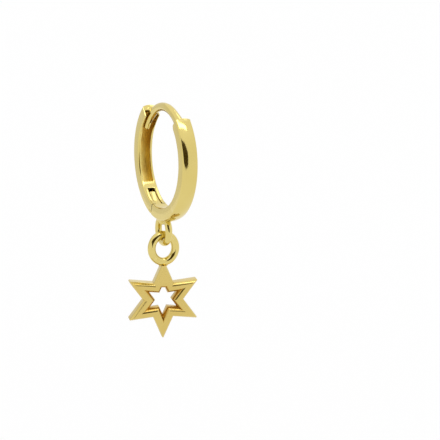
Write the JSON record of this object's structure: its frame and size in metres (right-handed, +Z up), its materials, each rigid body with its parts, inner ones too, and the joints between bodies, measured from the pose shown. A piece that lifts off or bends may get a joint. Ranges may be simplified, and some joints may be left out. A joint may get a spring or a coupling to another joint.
{
  "type": "hoop charm earring",
  "caption": "Hinged hoop earring: a band with a curved ear post, a recessed back half on a hinge pin that catches the post, and an open star charm hanging by its ring from a loop below.",
  "frame": {"origin": "on the centre line of the ear post, at the top of the hoop and midway across the band, where the ear lobe carries the earring", "axes": "+Z up, the earring hanging as worn; the hoop lies in the XZ plane with its front half towards +X and its hinged back half towards -X; +Y across the band"},
  "size_m": [0.0122, 0.0068, 0.0233],
  "materials": {
    "gold": "polished gold plating on silver",
    "pin_gold": "polished gold plating on silver"
  },
  "bodies": {
    "front": {"front_half": "gold"},
    "back": {"back_half": "gold", "hinge_pin": "pin_gold"},
    "charm": {"star_charm": "gold"}
  },
  "joints": [
    {"name": "back_hinge", "type": "hinge", "parent": "front", "child": "back", "pos_m": [-0.00173, 0, -0.01039], "axis": [0, -1, 0], "range_deg": [0, 60]},
    {"name": "charm_swing", "type": "hinge", "parent": "front", "child": "charm", "pos_m": [0, 0, -0.01252], "axis": [0.225, 0.9744, 0], "range_deg": [-60, 60]}
  ]
}
